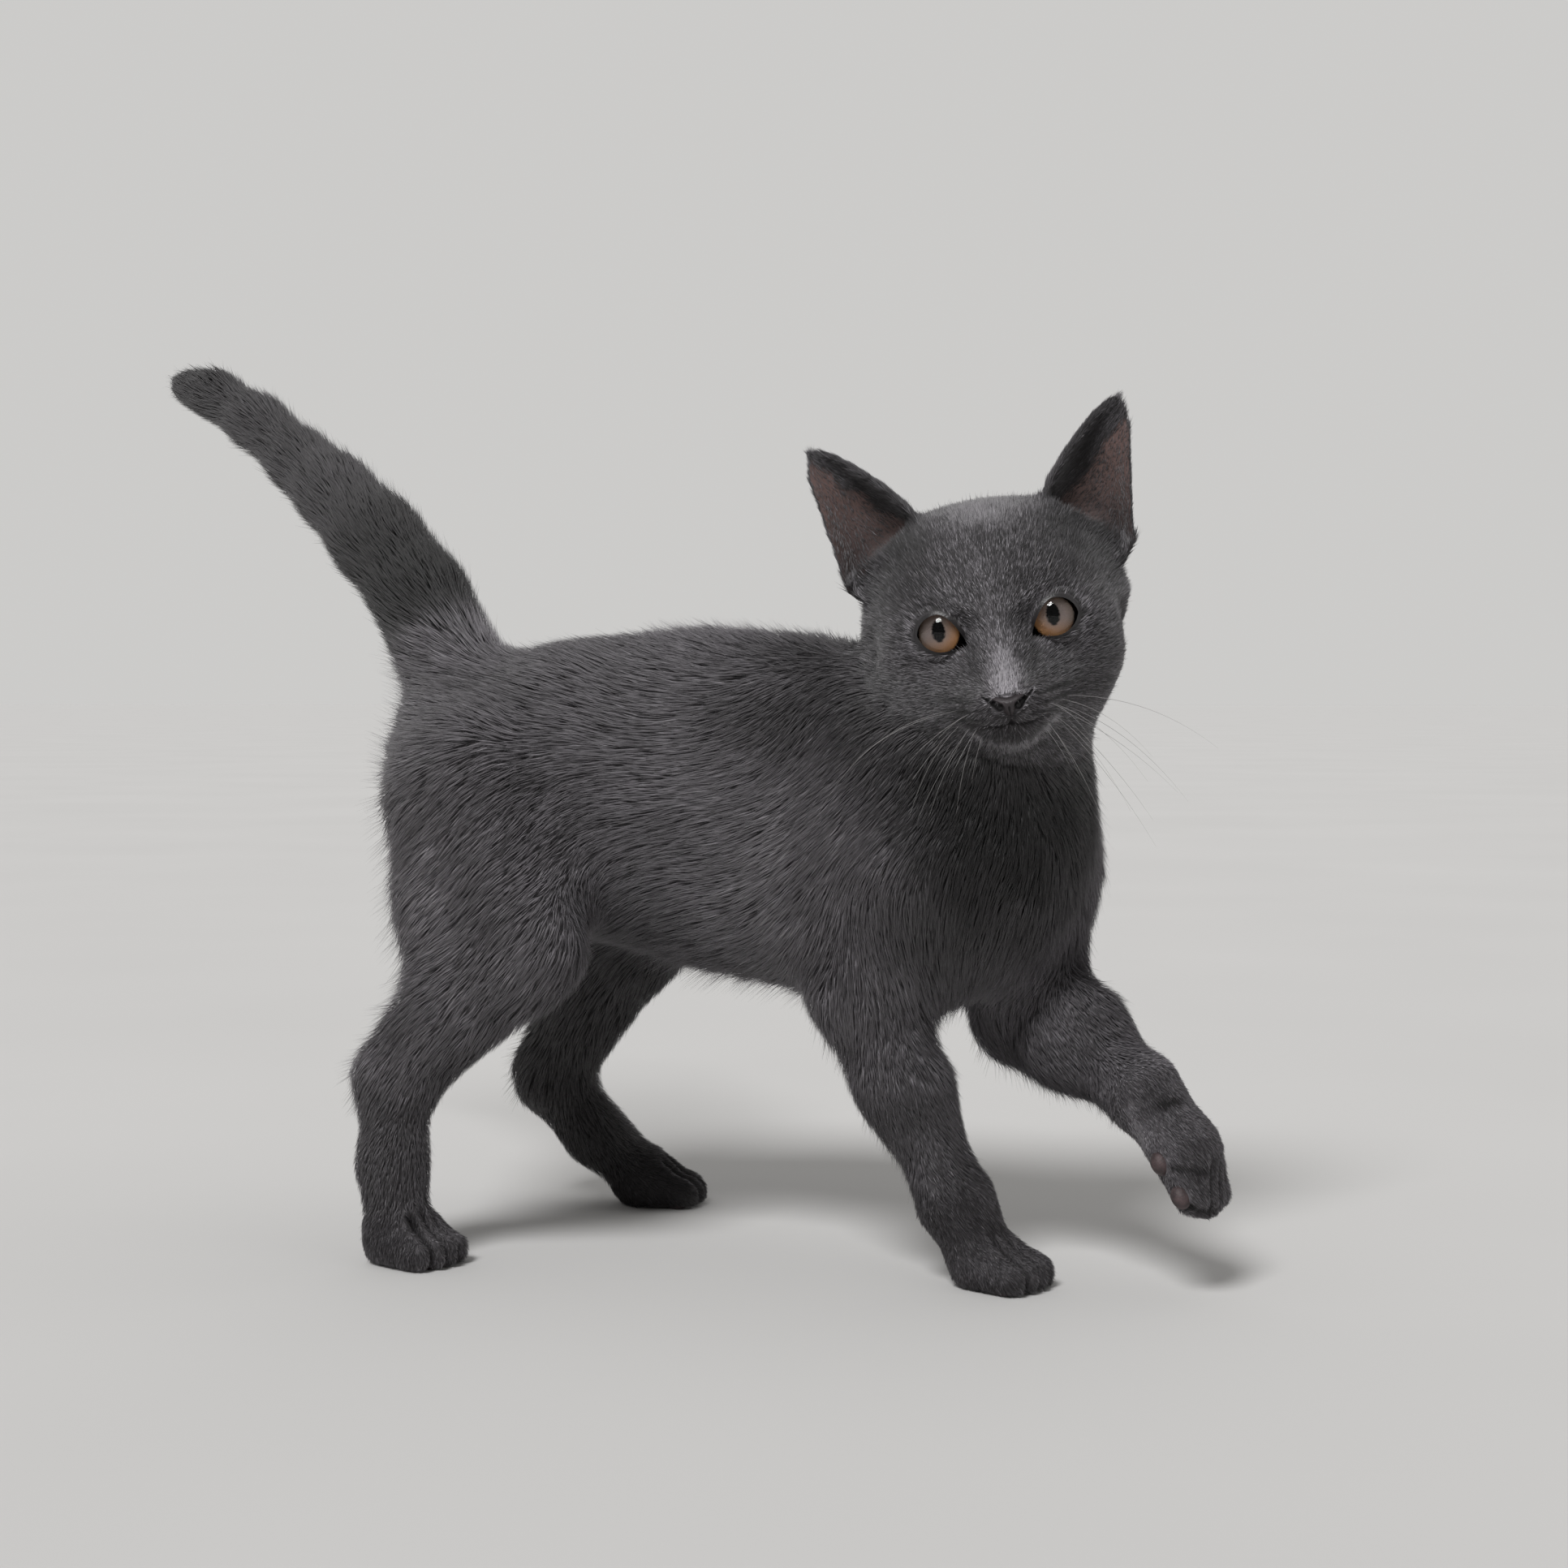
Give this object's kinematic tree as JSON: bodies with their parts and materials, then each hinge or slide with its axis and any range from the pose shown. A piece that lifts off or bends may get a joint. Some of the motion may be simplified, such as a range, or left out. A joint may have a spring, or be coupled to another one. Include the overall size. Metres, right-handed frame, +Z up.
{
  "type": "kitten",
  "caption": "Life-size grey-blue shorthair kitten, walking, with its left forepaw raised, its tail up and its head turned to its right.",
  "frame": {"origin": "on the floor, under the middle of the bounding box", "axes": "+X the way the kitten walks and the longest extent, +Y its left side, +Z up"},
  "size_m": [0.399, 0.1398, 0.3006],
  "materials": {
    "coat": "dense short fur, dull, charcoal blue-grey",
    "eye": "wet, glossy, pale amber iris",
    "nose_leather": "damp skin, slightly glossy, dark grey"
  },
  "bodies": {
    "root": {"head": "coat", "neck": "coat", "chest": "coat", "abdomen": "coat", "hips": "coat", "tail_base": "coat", "tail_middle": "coat", "tail_tip": "coat", "ear_right": "coat", "ear_left": "coat", "upper_arm_right": "coat", "forearm_right": "coat", "forepaw_right": "coat", "thigh_right": "coat", "shin_right": "coat", "hock_right": "coat", "hindpaw_right": "coat", "upper_arm_left": "coat", "forearm_left": "coat", "forepaw_left": "coat", "thigh_left": "coat", "shin_left": "coat", "hock_left": "coat", "hindpaw_left": "coat", "eye_right": "eye", "eye_left": "eye", "nose": "nose_leather"}
  },
  "joints": []
}
